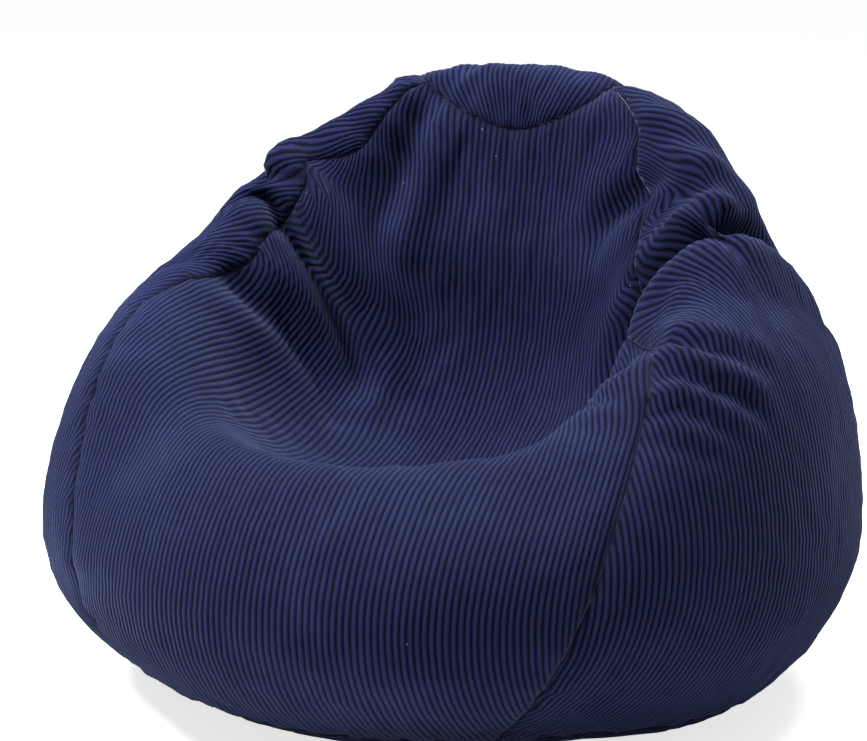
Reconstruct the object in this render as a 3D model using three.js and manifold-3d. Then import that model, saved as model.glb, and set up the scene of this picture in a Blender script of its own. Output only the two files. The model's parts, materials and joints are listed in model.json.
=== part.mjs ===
// Bean bag chair: a sewn corduroy cover, a zipped inner liner and the bead fill.
// Millimetres. Origin at the centre of the resting face, +Z up, front towards -Y,
// the sitter's left towards +X.
import * as THREE from 'three';
import { mergeVertices } from 'three/addons/utils/BufferGeometryUtils.js';
import Module from 'manifold-3d';

const wasm = await Module();
wasm.setup();

// Overall size of the filled chair
const width = 834;
const depth = 850;
const height = 614;

// Cover seams
const baseSeamHeight = 32;   // where the round base panel meets the four gores
const capReach = 128;        // from the middle of the cap to its seam, along the fabric
const leftFrontSeam = [22.5, 31, 38.5, 49, 57, 58];     // degrees from ahead, base to cap
const rightFrontSeam = [26, 31, 44, 52.5, 58.5, 56];  // the same on the other, fuller arm
const rearSeam = 130;        // degrees, seam between side panel and back panel

// Fabrics and clearances
const coverThickness = 1.6;
const linerThickness = 0.4;
const layerGap = 0.5;        // between cover, liner and fill
const seamGap = 0.3;         // between neighbouring pieces of one layer

// Cover zip, across the base behind the middle
const coverZipY = 45;
const coverZipLength = 340;
const hemLayers = 3;
const hemWidth = 18;

// Liner zip, parallel to it and in front of the middle
const linerZipY = -60;
const linerZipLength = 280;

// Zip section, the same chain for both
const slotHalf = 7;
const tapeWidth = 14;
const tapeThickness = 0.6;
const chainGap = 1.6;        // room between the two tooth rows for the slider post
const rowWidth = 2.0;
const rowThickness = 2.4;
const toothPitch = 9;
const toothGap = 3.6;
const toothDepth = 0.7;
const stopLength = 5;
const runClearance = 0.3;

// Sliders and pull
const sliderLength = 11;
const sliderWidth = 10;
const plateThickness = 1.0;
const archOpening = 3.2;
const archBar = 0.8;
const pullLength = 24;
const pullWidth = 7;
const pullThickness = 0.8;
const pullRoom = 1.3;        // from the slider down to the middle of the pull

// Care label, blank
const labelWidth = 30;
const labelHeight = 45;
const labelThickness = 0.5;
const labelAngle = 168;
const labelStandOff = 1.0;

// Mesh density
const panelColumns = 8;
const panelRows = 16;
const capRings = 3;
const baseRings = 5;

// Where each layer sits, measured inwards from the outside of the cover
const linerOuter = coverThickness + layerGap;
const linerInner = linerOuter + linerThickness;
const fillInset = linerInner + layerGap;

// Heights of the cover zip over the floor
const hemTop = coverThickness * hemLayers;
const coverTapeZ = hemTop + runClearance;
const coverChainZ = coverTapeZ + tapeThickness / 2;
const chainHalf = rowThickness / 2 + runClearance + plateThickness;

// The liner base lies over the cover zip, the fill lies over the liner zip
const linerBaseZ = coverChainZ + chainHalf + layerGap;
const linerTapeZ = linerBaseZ + linerThickness + runClearance;
const linerChainZ = linerTapeZ + tapeThickness / 2;
const fillBaseZ = linerChainZ + chainHalf + layerGap;

// Soft lobes of the filled body and the scoops taken out of it, in shares of width, depth
// and height: centre, half sizes and the lean towards the rear in degrees
const lobes = {
  belly: { at: [0, -0.0086, 0.271], size: [0.483, 0.491, 0.331], lean: 0 },
  foot: { at: [0, -0.0026, 0.121], size: [0.345, 0.335, 0.250], lean: 0 },
  arm: { at: [0.305, -0.0026, 0.368], size: [0.187, 0.320, 0.347], lean: 16 },
  back: { at: [0, 0.1254, 0.584], size: [0.366, 0.288, 0.594], lean: 30 },
  lapScoop: { at: [0, -0.1046, 0.994], size: [0.357, 0.286, 0.600], lean: 0 },
  seatScoop: { at: [0, -0.1076, 0.582], size: [0.224, 0.244, 0.232], lean: 0 },
};
const blend = { foot: 40, back: 90, arm: 60, scoops: 60, scooped: 75, floor: 35 };

// Line the gores are laid out around, from the floor up through the backrest
const axisFoot = new THREE.Vector3(0, 0.1324 * depth, 0);
const axisTop = new THREE.Vector3(0, 0.2614 * depth, 0.968 * height);
const traceColumns = 96;
const traceStep = 5;
const axisStart = 6;

// ---------------------------------------------------------------- body form

function lobeDistance(p, lobe, side = 1) {
  const cx = lobe.at[0] * width * side;
  const cy = lobe.at[1] * depth;
  const cz = lobe.at[2] * height;
  const lean = THREE.MathUtils.degToRad(lobe.lean);
  const dy = p.y - cy;
  const dz = p.z - cz;
  const q = new THREE.Vector3(
    p.x - cx,
    dy * Math.cos(lean) + dz * Math.sin(lean),
    -dy * Math.sin(lean) + dz * Math.cos(lean),
  );
  const r = new THREE.Vector3(lobe.size[0] * width, lobe.size[1] * depth, lobe.size[2] * height);
  const near = q.clone().divide(r).length();
  const far = q.clone().divide(r).divide(r).length();
  return near * (near - 1) / Math.max(far, 1e-9);
}

function softUnion(a, b, reach) {
  const h = THREE.MathUtils.clamp(0.5 + 0.5 * (b - a) / reach, 0, 1);
  return b * (1 - h) + a * h - reach * h * (1 - h);
}

function softCut(a, b, reach) {
  return -softUnion(-a, b, reach);
}

// Negative inside the filled body, zero on the outside of the cover
function body(p) {
  let f = softUnion(lobeDistance(p, lobes.belly), lobeDistance(p, lobes.foot), blend.foot);
  f = softUnion(f, lobeDistance(p, lobes.back), blend.back);
  const arms = Math.min(lobeDistance(p, lobes.arm), lobeDistance(p, lobes.arm, -1));
  f = softUnion(f, arms, blend.arm);
  const lap = lobeDistance(p, lobes.lapScoop);
  const scoop = softUnion(lap, lobeDistance(p, lobes.seatScoop), blend.scoops);
  f = softCut(f, scoop, blend.scooped);
  return softCut(f, p.z, blend.floor);
}

function slope(p) {
  const h = 0.5;
  const g = new THREE.Vector3();
  for (const axis of ['x', 'y', 'z']) {
    const ahead = p.clone();
    const behind = p.clone();
    ahead[axis] += h;
    behind[axis] -= h;
    g[axis] = (body(ahead) - body(behind)) / (2 * h);
  }
  return g;
}

function toSurface(p) {
  for (let k = 0; k < 4; k += 1) {
    const g = slope(p);
    p.addScaledVector(g, -body(p) / Math.max(g.lengthSq(), 1e-6));
  }
  return p;
}

// Follows the body surface in one half-plane through the axis, base middle to cap middle
function traceMeridian(angle) {
  const axis = axisTop.clone().sub(axisFoot).normalize();
  const out = new THREE.Vector3(Math.sin(angle), -Math.cos(angle), 0);
  out.addScaledVector(axis, -out.dot(axis)).normalize();
  const across = axis.clone().cross(out);
  const flatten = (v) => v.addScaledVector(across, -v.dot(across));
  const start = axisFoot.clone().addScaledVector(out, axisStart);
  start.z = 0;
  const points = [axisFoot.clone(), start];
  let turn = 0;
  for (let k = 0; k < 600; k += 1) {
    const p = points[points.length - 1];
    const along = across.clone().cross(flatten(slope(p)).normalize());
    if (turn === 0) {
      turn = Math.sign(along.dot(out));
    }
    const next = p.clone().addScaledVector(along, turn * traceStep);
    for (let n = 0; n < 3; n += 1) {
      const g = flatten(slope(next));
      next.addScaledVector(g, -body(next) / Math.max(g.lengthSq(), 1e-6));
    }
    const reach = next.clone().sub(axisFoot).dot(out);
    if (reach < 0 && next.z > height / 2) {
      const before = p.clone().sub(axisFoot).dot(out);
      points.push(p.clone().lerp(next, before / (before - reach)));
      break;
    }
    points.push(next);
  }
  return measured(points);
}

// Adds the running length and the two seam stations to a traced line
function measured(points) {
  const lengths = [0];
  for (let k = 1; k < points.length; k += 1) {
    lengths.push(lengths[k - 1] + points[k].distanceTo(points[k - 1]));
  }
  const k = points.findIndex((p) => p.z > baseSeamHeight);
  const share = (baseSeamHeight - points[k - 1].z) / (points[k].z - points[k - 1].z);
  const base = lengths[k - 1] + share * (lengths[k] - lengths[k - 1]);
  const total = lengths[lengths.length - 1];
  return { points, lengths, base, cap: total - capReach, total };
}

function pointAlong(line, length) {
  const { points, lengths } = line;
  let k = lengths.findIndex((l) => l >= length);
  if (k < 1) {
    k = k === 0 ? 1 : lengths.length - 1;
  }
  const share = (length - lengths[k - 1]) / (lengths[k] - lengths[k - 1]);
  return points[k - 1].clone().lerp(points[k], share);
}

const meridians = [];
for (let k = 0; k < traceColumns; k += 1) {
  meridians.push(traceMeridian((2 * Math.PI * k) / traceColumns));
}

// A station runs 0 at the base middle, 1 at the base seam, 2 at the cap seam, 3 at the cap middle
function stationLength(line, station) {
  if (station <= 1) {
    return line.base * station;
  }
  if (station <= 2) {
    return line.base + (line.cap - line.base) * (station - 1);
  }
  return line.cap + (line.total - line.cap) * (station - 2);
}

// Point and outward normal of the cover at an angle in degrees and a station
function coverPoint(degrees, station) {
  const turn = ((((degrees / 360) % 1) + 1) % 1) * traceColumns;
  const k = Math.floor(turn);
  const a = meridians[k % traceColumns];
  const b = meridians[(k + 1) % traceColumns];
  const pa = pointAlong(a, stationLength(a, station));
  const pb = pointAlong(b, stationLength(b, station));
  const point = toSurface(pa.lerp(pb, turn - k));
  const normal = slope(point).normalize();
  if (station === 0) {
    point.copy(axisFoot);
    normal.set(0, 0, -1);
  }
  if (station === 3) {
    point.copy(a.points[a.points.length - 1]);
    normal.copy(slope(point)).normalize();
  }
  return { point, normal };
}

// ------------------------------------------------------------- cover layout

function seamAngle(index, station) {
  const along = THREE.MathUtils.clamp(station - 1, 0, 1) * (leftFrontSeam.length - 1);
  const k = Math.min(Math.floor(along), leftFrontSeam.length - 2);
  const between = (seam) => seam[k] + (seam[k + 1] - seam[k]) * (along - k);
  const left = between(leftFrontSeam);
  const right = between(rightFrontSeam);
  return [-right, left, rearSeam, 360 - rearSeam, 360 - right][index];
}

function columnAngle(column, station) {
  const panel = Math.floor(column / panelColumns) % 4;
  const share = (column % panelColumns) / panelColumns;
  const from = seamAngle(panel, station);
  const to = seamAngle(panel + 1, station);
  return from + (to - from) * share;
}

const columns = panelColumns * 4;

function ringStations() {
  const stations = [];
  for (let k = 1; k < baseRings; k += 1) {
    stations.push(k / baseRings);
  }
  for (let k = 0; k <= panelRows; k += 1) {
    stations.push(1 + k / panelRows);
  }
  for (let k = 1; k < capRings; k += 1) {
    stations.push(2 + k / capRings);
  }
  return stations;
}

const stations = ringStations();
const baseRow = baseRings - 1;
const capRow = baseRow + panelRows;
const rings = stations.map((station) => {
  const ring = [];
  for (let c = 0; c < columns; c += 1) {
    ring.push(coverPoint(columnAngle(c, station), station));
  }
  return ring;
});
const baseMiddle = coverPoint(0, 0);
const capMiddle = coverPoint(0, 3);

// A layer's inset grows from its wall value at the base seam to its height over the floor
function insetAt(row, inset) {
  if (row >= baseRow) {
    return inset.wall;
  }
  const share = THREE.MathUtils.clamp((1 - stations[row]) / (1.6 / baseRings), 0, 1);
  return inset.wall + (inset.base - inset.wall) * share;
}

function layerPoint(row, column, inset) {
  const { point, normal } = rings[row][((column % columns) + columns) % columns];
  return point.clone().addScaledVector(normal, -insetAt(row, inset));
}

function middlePoint(middle, depthIn) {
  return middle.point.clone().addScaledVector(middle.normal, -depthIn);
}

// Moves the points of an edge towards their neighbours by half the seam gap
function pullBack(edge, neighbour) {
  return edge.map((p, k) => {
    const away = neighbour[k].clone().sub(p);
    return p.clone().addScaledVector(away.normalize(), seamGap / 2);
  });
}

// -------------------------------------------------------- closed mesh making

function solidFrom(points, faces) {
  const geometry = new THREE.BufferGeometry();
  const positions = points.flatMap((p) => [p.x, p.y, p.z]);
  geometry.setAttribute('position', new THREE.Float32BufferAttribute(positions, 3));
  geometry.setIndex(faces.flat());
  return geometry;
}

// Closed shell between two point grids of the same size, rows by columns
function gridShell(outer, inner) {
  const rowCount = outer.length;
  const columnCount = outer[0].length;
  const points = [...outer.flat(), ...inner.flat()];
  const half = rowCount * columnCount;
  const at = (row, column) => row * columnCount + column;
  const faces = [];
  const quad = (a, b, c, d) => faces.push([a, b, c], [a, c, d]);
  for (let r = 0; r < rowCount - 1; r += 1) {
    for (let c = 0; c < columnCount - 1; c += 1) {
      quad(at(r, c), at(r, c + 1), at(r + 1, c + 1), at(r + 1, c));
      quad(half + at(r, c), half + at(r + 1, c), half + at(r + 1, c + 1), half + at(r, c + 1));
    }
  }
  for (let c = 0; c < columnCount - 1; c += 1) {
    const last = rowCount - 1;
    quad(at(0, c + 1), at(0, c), half + at(0, c), half + at(0, c + 1));
    quad(at(last, c + 1), half + at(last, c + 1), half + at(last, c), at(last, c));
  }
  for (let r = 0; r < rowCount - 1; r += 1) {
    const last = columnCount - 1;
    quad(at(r, 0), at(r + 1, 0), half + at(r + 1, 0), half + at(r, 0));
    quad(at(r, last), half + at(r, last), half + at(r + 1, last), at(r + 1, last));
  }
  return solidFrom(points, faces);
}

// Closed dish between two sets of rings that shrink to a middle point
function dishShell(outer, outerMiddle, inner, innerMiddle, upward) {
  const count = outer[0].length;
  const points = [...outer.flat(), outerMiddle, ...inner.flat(), innerMiddle];
  const half = outer.length * count + 1;
  const faces = [];
  const face = (a, b, c) => faces.push(upward ? [a, b, c] : [a, c, b]);
  const at = (r, c) => r * count + (c % count);
  const last = outer.length - 1;
  for (let c = 0; c < count; c += 1) {
    for (let r = 0; r < last; r += 1) {
      const corners = [at(r, c), at(r, c + 1), at(r + 1, c + 1), at(r + 1, c)];
      const [a, b, d, e] = upward ? corners : [...corners.slice(1), corners[0]];
      face(a, b, d);
      face(a, d, e);
      face(half + a, half + d, half + b);
      face(half + a, half + e, half + d);
    }
    face(at(last, c), at(last, c + 1), half - 1);
    face(half + at(last, c), half + half - 1, half + at(last, c + 1));
    face(at(0, c + 1), at(0, c), half + at(0, c));
    face(at(0, c + 1), half + at(0, c), half + at(0, c + 1));
  }
  return solidFrom(points, faces);
}

// ------------------------------------------------------------ sewn panels

function gore(index, outerInset, innerInset) {
  const sheet = (inset) => {
    const grid = [];
    for (let r = baseRow; r <= capRow; r += 1) {
      const line = [];
      for (let c = 0; c <= panelColumns; c += 1) {
        line.push(layerPoint(r, index * panelColumns + c, inset));
      }
      grid.push(line);
    }
    const first = pullBack(grid[0], grid[1]);
    const last = pullBack(grid[panelRows], grid[panelRows - 1]);
    grid[0] = first;
    grid[panelRows] = last;
    const left = pullBack(grid.map((line) => line[0]), grid.map((line) => line[1]));
    const right = pullBack(
      grid.map((line) => line[panelColumns]),
      grid.map((line) => line[panelColumns - 1]),
    );
    grid.forEach((line, r) => {
      line[0] = left[r];
      line[panelColumns] = right[r];
    });
    return grid;
  };
  return gridShell(sheet(outerInset), sheet(innerInset));
}

function dishRings(fromRow, step, count, inset) {
  const result = [];
  for (let k = 0; k < count; k += 1) {
    const line = [];
    for (let c = 0; c < columns; c += 1) {
      line.push(layerPoint(fromRow + step * k, c, inset));
    }
    result.push(line);
  }
  result[0] = pullBack(result[0], result[1]);
  return result;
}

function cap(outerInset, innerInset) {
  return dishShell(
    dishRings(capRow, 1, capRings, outerInset),
    middlePoint(capMiddle, outerInset.wall),
    dishRings(capRow, 1, capRings, innerInset),
    middlePoint(capMiddle, innerInset.wall),
    true,
  );
}

function baseDish(outerInset, innerInset) {
  return dishShell(
    dishRings(baseRow, -1, baseRings, outerInset),
    middlePoint(baseMiddle, outerInset.base),
    dishRings(baseRow, -1, baseRings, innerInset),
    middlePoint(baseMiddle, innerInset.base),
    false,
  );
}

// ----------------------------------------------------------- solid helpers

function toManifold(geometry) {
  const plain = geometry.clone();
  plain.deleteAttribute('normal');
  plain.deleteAttribute('uv');
  const merged = mergeVertices(plain, 1e-4);
  return new wasm.Manifold(new wasm.Mesh({
    numProp: 3,
    vertProperties: new Float32Array(merged.attributes.position.array),
    triVerts: new Uint32Array(merged.index.array),
  }));
}

function fromManifold(solid) {
  const mesh = solid.getMesh();
  const geometry = new THREE.BufferGeometry();
  geometry.setAttribute('position', new THREE.BufferAttribute(new Float32Array(mesh.vertProperties), 3));
  geometry.setIndex(new THREE.BufferAttribute(new Uint32Array(mesh.triVerts), 1));
  return geometry;
}

function boxBetween(low, high) {
  const size = high.map((h, k) => h - low[k]);
  const geometry = new THREE.BoxGeometry(...size);
  geometry.translate(...low.map((l, k) => l + size[k] / 2));
  return geometry;
}

const solidBox = (low, high) => toManifold(boxBetween(low, high));

// Half of a round base: cut along the zip line, with the zip slot let in and its edge hemmed
function baseHalf(dish, side, zip) {
  const far = width + depth;
  const edge = (half) => zip.y + side * half;
  const slab = (near, x, low, high) => {
    const ends = [near, zip.y + side * far].sort((a, b) => a - b);
    return solidBox([-x, ends[0], low], [x, ends[1], high]);
  };
  let half = toManifold(dish).intersect(slab(edge(seamGap / 2), far, -far, far));
  const strip = (reach, x, low, high) => {
    const ends = [edge(reach[0]), edge(reach[1])].sort((a, b) => a - b);
    return solidBox([-x, ends[0], low], [x, ends[1], high]);
  };
  const slotEnd = zip.length / 2 + zip.overrun;
  half = half.subtract(strip([-1, slotHalf], slotEnd, zip.low - 1, zip.high + 1));
  if (zip.hem > 0) {
    const top = zip.low + zip.fabric * zip.hem;
    const hem = strip([slotHalf, slotHalf + hemWidth], slotEnd, zip.low + zip.fabric / 2, top);
    half = half.add(hem);
  }
  return fromManifold(half);
}

// ------------------------------------------------------------------- zips

function zipTape(zip, side) {
  const near = chainGap / 2 + rowWidth + runClearance;
  const ends = [zip.y + side * near, zip.y + side * (near + tapeWidth)].sort((a, b) => a - b);
  return boxBetween(
    [-zip.length / 2, ends[0], zip.tapeZ],
    [zip.length / 2, ends[1], zip.tapeZ + tapeThickness],
  );
}

// One row of teeth: a comb outline drawn in plan and given the row's thickness
function zipRow(zip, side) {
  const run = zip.length / 2 - stopLength - runClearance;
  const inner = chainGap / 2;
  const outline = new THREE.Shape();
  outline.moveTo(-run, inner + rowWidth);
  outline.lineTo(-run, inner);
  const teeth = Math.floor((2 * run - toothGap) / toothPitch);
  const first = -((teeth - 1) * toothPitch) / 2;
  for (let k = 0; k < teeth; k += 1) {
    const x = first + k * toothPitch;
    outline.lineTo(x - toothGap / 2, inner);
    outline.lineTo(x - toothGap / 2, inner + toothDepth);
    outline.lineTo(x + toothGap / 2, inner + toothDepth);
    outline.lineTo(x + toothGap / 2, inner);
  }
  outline.lineTo(run, inner);
  outline.lineTo(run, inner + rowWidth);
  outline.closePath();
  const geometry = new THREE.ExtrudeGeometry(outline, { depth: rowThickness, bevelEnabled: false });
  if (side < 0) {
    geometry.rotateZ(Math.PI);
  }
  geometry.translate(0, zip.y, zip.chainZ - rowThickness / 2);
  return geometry;
}

function zipStop(zip, end) {
  const x = [end * (zip.length / 2), end * (zip.length / 2 - stopLength)].sort((a, b) => a - b);
  const y = chainGap / 2 + rowWidth;
  const z = rowThickness / 2;
  return boxBetween([x[0], zip.y - y, zip.chainZ - z], [x[1], zip.y + y, zip.chainZ + z]);
}

// Slider: two plates joined by a post that runs in the gap between the tooth rows
function zipSlider(zip) {
  const x = zip.sliderX;
  const long = sliderLength / 2;
  const wide = sliderWidth / 2;
  const inside = rowThickness / 2 + runClearance;
  const outside = inside + plateThickness;
  const postHalf = chainGap / 2 - runClearance;
  const plate = (low, high) => solidBox(
    [x - long, zip.y - wide, zip.chainZ + low],
    [x + long, zip.y + wide, zip.chainZ + high],
  );
  let slider = plate(inside, outside).add(plate(-outside, -inside));
  slider = slider.add(solidBox(
    [x - long + 2, zip.y - postHalf, zip.chainZ - inside - 0.2],
    [x + long - 2, zip.y + postHalf, zip.chainZ + inside + 0.2],
  ));
  return zip.pull ? slider.add(pullArch(zip)) : slider;
}

// Arch under the slider that holds the bar of the pull
function pullArch(zip) {
  const top = zip.chainZ - chainHalf + 0.2;
  const reach = archOpening / 2 + archBar;
  const low = zip.pullZ - pullThickness / 2 - runClearance - archBar;
  const post = (side) => {
    const ends = [side * archOpening / 2, side * reach].sort((a, b) => a - b);
    return solidBox(
      [zip.sliderX + ends[0], zip.y - archBar, low],
      [zip.sliderX + ends[1], zip.y + archBar, top],
    );
  };
  const foot = solidBox(
    [zip.sliderX - reach, zip.y - archBar, low],
    [zip.sliderX + reach, zip.y + archBar, low + archBar],
  );
  return post(1).add(post(-1)).add(foot);
}

// Pull: a bar through the arch, two side arms and the finger plate, pointing to -X
function zipPull(zip) {
  const half = pullThickness / 2;
  const inner = archBar + runClearance;
  const outer = pullWidth / 2;
  const plateStart = archOpening / 2 + archBar + 1;
  const piece = (far, near, from, to) => solidBox(
    [zip.sliderX - far, zip.y + from, zip.pullZ - half],
    [zip.sliderX - near, zip.y + to, zip.pullZ + half],
  );
  const bar = piece(half, -half, -outer, outer);
  const arms = piece(plateStart + 0.5, -half, inner, outer).add(
    piece(plateStart + 0.5, -half, -outer, -inner),
  );
  return bar.add(arms).add(piece(pullLength, plateStart, -outer, outer));
}

// ------------------------------------------------------------- care label

function careLabel() {
  const seat = coverPoint(labelAngle, 1.06);
  const geometry = new THREE.BoxGeometry(labelWidth, labelHeight, labelThickness);
  const across = new THREE.Vector3(0, 0, 1).cross(seat.normal).normalize();
  const up = seat.normal.clone().cross(across).normalize();
  geometry.applyMatrix4(new THREE.Matrix4().makeBasis(across, up, seat.normal));
  const middle = seat.point.addScaledVector(seat.normal, labelStandOff + labelThickness / 2);
  geometry.translate(middle.x, middle.y, middle.z);
  return geometry;
}

// ---------------------------------------------------------------- bead fill

function beadFill() {
  const inset = { wall: fillInset, base: fillBaseZ };
  const points = [middlePoint(baseMiddle, inset.base)];
  rings.forEach((ring, r) => {
    for (let c = 0; c < columns; c += 1) {
      points.push(layerPoint(r, c, inset));
    }
  });
  points.push(middlePoint(capMiddle, inset.wall));
  const faces = [];
  const at = (r, c) => 1 + r * columns + (c % columns);
  const last = rings.length - 1;
  for (let c = 0; c < columns; c += 1) {
    faces.push([0, at(0, c + 1), at(0, c)]);
    faces.push([points.length - 1, at(last, c), at(last, c + 1)]);
    for (let r = 0; r < last; r += 1) {
      faces.push([at(r, c), at(r, c + 1), at(r + 1, c + 1)]);
      faces.push([at(r, c), at(r + 1, c + 1), at(r + 1, c)]);
    }
  }
  return solidFrom(points, faces);
}

// ---------------------------------------------------------------- assembly

const fabrics = {
  corduroy: { color: 0x1f2546, roughness: 0.95, metalness: 0 },
  liner: { color: 0xe9e7e1, roughness: 0.85, metalness: 0 },
  beads: { color: 0xf6f6f4, roughness: 0.9, metalness: 0 },
  tape: { color: 0x1b2140, roughness: 0.85, metalness: 0 },
  linerTape: { color: 0xdedcd5, roughness: 0.85, metalness: 0 },
  teeth: { color: 0x23294a, roughness: 0.45, metalness: 0 },
  linerTeeth: { color: 0xe4e2dc, roughness: 0.45, metalness: 0 },
  metal: { color: 0x4a4d57, roughness: 0.35, metalness: 0.9 },
  label: { color: 0xf1f0ec, roughness: 0.7, metalness: 0 },
};

const model = new THREE.Group();
model.name = 'bean_bag_chair';

function addPart(name, geometry, fabric) {
  const material = new THREE.MeshStandardMaterial(fabrics[fabric]);
  const mesh = new THREE.Mesh(geometry, material);
  mesh.name = name;
  model.add(mesh);
}

const coverZip = {
  y: coverZipY,
  length: coverZipLength,
  overrun: pullLength - stopLength,
  low: 0,
  fabric: coverThickness,
  hem: hemLayers,
  tapeZ: coverTapeZ,
  chainZ: coverChainZ,
  pull: true,
  pullZ: coverChainZ - chainHalf - pullRoom,
};
coverZip.high = hemTop;
coverZip.sliderX = coverZipLength / 2 - stopLength - runClearance - sliderLength / 2;

const linerZip = {
  y: linerZipY,
  length: linerZipLength,
  overrun: seamGap,
  low: linerBaseZ,
  high: linerBaseZ + linerThickness,
  fabric: linerThickness,
  hem: 0,
  tapeZ: linerTapeZ,
  chainZ: linerChainZ,
  pull: false,
};
linerZip.sliderX = linerZipLength / 2 - stopLength - runClearance - sliderLength / 2;

const coverOuter = { wall: 0, base: 0 };
const coverInner = { wall: coverThickness, base: coverThickness };
const linerOut = { wall: linerOuter, base: linerBaseZ };
const linerIn = { wall: linerInner, base: linerBaseZ + linerThickness };

function addLayer(names, outer, inner, zip, fabric) {
  names.gores.forEach((name, index) => {
    addPart(name, gore(index, outer, inner), fabric);
  });
  addPart(names.cap, cap(outer, inner), fabric);
  const dish = baseDish(outer, inner);
  addPart(names.baseFront, baseHalf(dish, -1, zip), fabric);
  addPart(names.baseRear, baseHalf(dish, 1, zip), fabric);
}

function addZip(prefix, zip, tape, teeth) {
  addPart(`${prefix}_zip_tape_front`, zipTape(zip, -1), tape);
  addPart(`${prefix}_zip_tape_rear`, zipTape(zip, 1), tape);
  addPart(`${prefix}_zip_teeth_front`, zipRow(zip, -1), teeth);
  addPart(`${prefix}_zip_teeth_rear`, zipRow(zip, 1), teeth);
  addPart(`${prefix}_zip_stop_closed`, zipStop(zip, 1), 'metal');
  addPart(`${prefix}_zip_stop_open`, zipStop(zip, -1), 'metal');
  addPart(`${prefix}_zip_slider`, fromManifold(zipSlider(zip)), 'metal');
  if (zip.pull) {
    addPart(`${prefix}_zip_pull`, fromManifold(zipPull(zip)), 'metal');
  }
}

addLayer(
  {
    gores: ['front_panel', 'left_side_panel', 'back_panel', 'right_side_panel'],
    cap: 'top_cap',
    baseFront: 'base_front_half',
    baseRear: 'base_rear_half',
  },
  coverOuter,
  coverInner,
  coverZip,
  'corduroy',
);
addZip('cover', coverZip, 'tape', 'teeth');
addPart('care_label', careLabel(), 'label');
addLayer(
  {
    gores: ['liner_front', 'liner_left_side', 'liner_back', 'liner_right_side'],
    cap: 'liner_cap',
    baseFront: 'liner_base_front_half',
    baseRear: 'liner_base_rear_half',
  },
  linerOut,
  linerIn,
  linerZip,
  'liner',
);
addZip('liner', linerZip, 'linerTape', 'linerTeeth');
addPart('bead_fill', beadFill(), 'beads');

export default model;
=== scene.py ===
# Bean bag chair: corduroy cover, zipped liner and bead fill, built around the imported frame
import json
import math
import bmesh
import bpy
import numpy as np
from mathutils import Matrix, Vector
from mathutils.bvhtree import BVHTree

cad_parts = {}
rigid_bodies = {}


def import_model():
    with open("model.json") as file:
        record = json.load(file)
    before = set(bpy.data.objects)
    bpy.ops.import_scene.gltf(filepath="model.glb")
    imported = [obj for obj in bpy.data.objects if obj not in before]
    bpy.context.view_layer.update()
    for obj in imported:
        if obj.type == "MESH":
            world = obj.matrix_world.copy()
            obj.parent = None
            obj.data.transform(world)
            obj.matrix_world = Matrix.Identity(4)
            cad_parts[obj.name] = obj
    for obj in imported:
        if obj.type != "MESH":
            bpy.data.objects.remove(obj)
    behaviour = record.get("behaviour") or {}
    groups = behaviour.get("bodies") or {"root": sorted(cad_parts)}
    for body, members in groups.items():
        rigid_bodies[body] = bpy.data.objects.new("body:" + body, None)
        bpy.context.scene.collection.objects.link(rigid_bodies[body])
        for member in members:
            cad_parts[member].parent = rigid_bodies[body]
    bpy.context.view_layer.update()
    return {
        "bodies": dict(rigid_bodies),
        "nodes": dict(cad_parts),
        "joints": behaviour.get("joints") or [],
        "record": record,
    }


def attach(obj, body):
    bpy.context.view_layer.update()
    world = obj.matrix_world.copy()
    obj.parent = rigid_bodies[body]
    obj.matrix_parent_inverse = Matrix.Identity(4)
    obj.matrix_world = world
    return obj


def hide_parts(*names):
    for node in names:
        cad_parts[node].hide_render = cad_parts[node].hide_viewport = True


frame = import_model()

scene = bpy.context.scene
print("frame loaded:", len(frame["nodes"]), "nodes")

# Camera first: where a person sits opposite the chair, a little to its left
cameraView = {
    "azimuth": 24.1, "elevation": 12.3, "distance": 2.76, "target": (0, 0, 0.300),
    "lens": 111.2, "shift": (-0.0250, 0.0250),
}


# Unit vector out from the chair: azimuth in degrees from the front towards +X
def outwards(azimuth, elevation):
    az, el = math.radians(azimuth), math.radians(elevation)
    return Vector((math.sin(az) * math.cos(el), -math.cos(az) * math.cos(el), math.sin(el)))


def placeCamera(view):
    away = outwards(view["azimuth"], view["elevation"])
    data = bpy.data.cameras.new("camera")
    data.lens = view["lens"]
    data.sensor_width = 36
    data.shift_x, data.shift_y = view["shift"]
    data.clip_start = 0.05
    camera = bpy.data.objects.new("camera", data)
    scene.collection.objects.link(camera)
    camera.location = Vector(view["target"]) + away * view["distance"]
    camera.rotation_euler = away.to_track_quat("Z", "Y").to_euler()
    scene.camera = camera


placeCamera(cameraView)

# The filled body: lobes and the scoops taken out of it, in shares of width, depth and height
chairForm = {
    "size": (0.834, 0.850, 0.614),
    "belly": {"at": (0, -0.0086, 0.271), "size": (0.483, 0.491, 0.331), "lean": 0},
    "foot": {"at": (0, -0.0026, 0.121), "size": (0.345, 0.335, 0.250), "lean": 0},
    "arm": {"at": (0.305, -0.0026, 0.368), "size": (0.187, 0.320, 0.347), "lean": 16},
    "back": {"at": (0, 0.1254, 0.584), "size": (0.366, 0.288, 0.594), "lean": 30},
    "lapScoop": {"at": (0, -0.1046, 0.994), "size": (0.357, 0.286, 0.600), "lean": 0},
    "seatScoop": {"at": (0, -0.1076, 0.582), "size": (0.224, 0.244, 0.232), "lean": 0},
    "footBlend": 0.040, "backBlend": 0.090, "armBlend": 0.060,
    "scoopsBlend": 0.060, "scoopedBlend": 0.075, "floorBlend": 0.035,
}


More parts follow.
